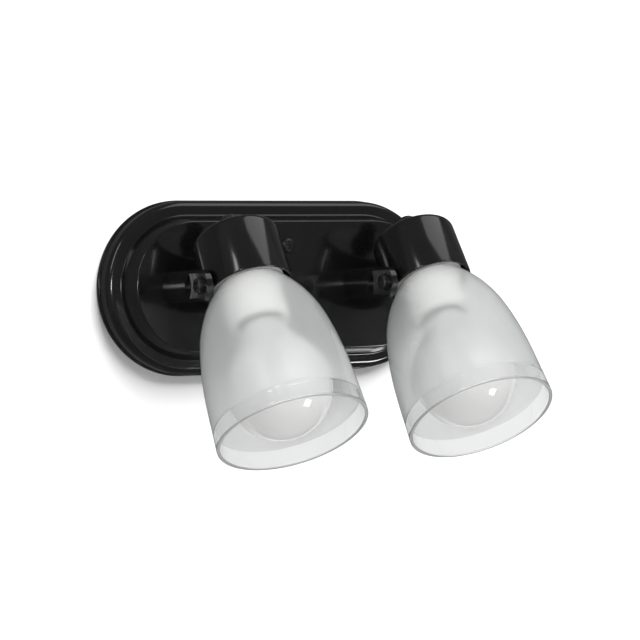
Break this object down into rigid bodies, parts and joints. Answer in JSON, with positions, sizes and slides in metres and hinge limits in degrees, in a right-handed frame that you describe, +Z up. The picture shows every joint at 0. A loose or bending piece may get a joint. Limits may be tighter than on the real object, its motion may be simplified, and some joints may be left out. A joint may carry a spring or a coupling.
{
  "type": "pivoting spotlight wall light",
  "caption": "Wall spotlight: a gloss black plate with round ends carries flat arms, and on each a black cup with a frosted bell glass and ball lamp tilts on a friction pivot.",
  "frame": {"origin": "middle of the plate on the wall plane, midway between the two wall screw slots", "axes": "+X along the plate, +Y into the wall, +Z up"},
  "size_m": [0.1694, 0.1235, 0.1178],
  "materials": {
    "black_paint": "gloss",
    "zinc_steel": "satin",
    "black_steel": "satin",
    "white_plastic": "matt",
    "brass": "satin",
    "black_plastic": "satin",
    "black_rubber": "matt",
    "frosted_glass": "frosted, with a clear band at the mouth",
    "opal_glass": "opal, gloss",
    "nickel": "gloss"
  },
  "bodies": {
    "wall_mount": {"wall_plate": "black_paint", "wall_bracket": "zinc_steel", "bracket_pillars": "zinc_steel", "fixing_screws": "black_steel", "terminal_block": "white_plastic", "terminal_tubes": "brass", "terminal_screws": "zinc_steel", "block_screws": "zinc_steel", "earth_screw": "zinc_steel", "left_arm": "black_paint", "right_arm": "black_paint", "arm_screws": "zinc_steel", "arm_washers": "zinc_steel", "cable_grommets": "black_rubber"},
    "left_head": {"left_cup": "black_paint", "left_pivot_screw": "black_steel", "left_spring_washer": "black_steel", "left_friction_washer": "black_plastic", "left_rear_gland": "black_plastic", "left_gland_nut": "zinc_steel", "left_lampholder": "white_plastic", "left_centre_contact": "brass", "left_screw_shell": "brass", "left_glass_shade": "frosted_glass", "left_shade_ring": "white_plastic", "left_bulb_globe": "opal_glass", "left_bulb_cap": "nickel", "left_bulb_contact": "nickel"},
    "right_head": {"right_cup": "black_paint", "right_pivot_screw": "black_steel", "right_spring_washer": "black_steel", "right_friction_washer": "black_plastic", "right_rear_gland": "black_plastic", "right_gland_nut": "zinc_steel", "right_lampholder": "white_plastic", "right_centre_contact": "brass", "right_screw_shell": "brass", "right_glass_shade": "frosted_glass", "right_shade_ring": "white_plastic", "right_bulb_globe": "opal_glass", "right_bulb_cap": "nickel", "right_bulb_contact": "nickel"}
  },
  "joints": [
    {"name": "left_head_tilt", "type": "hinge", "parent": "wall_mount", "child": "left_head", "pos_m": [-0.057, -0.0565, 0], "axis": [-1, 0, 0], "range_deg": [-36, 139]},
    {"name": "right_head_tilt", "type": "hinge", "parent": "wall_mount", "child": "right_head", "pos_m": [0.033, -0.0565, 0], "axis": [-1, 0, 0], "range_deg": [-39, 136]}
  ]
}
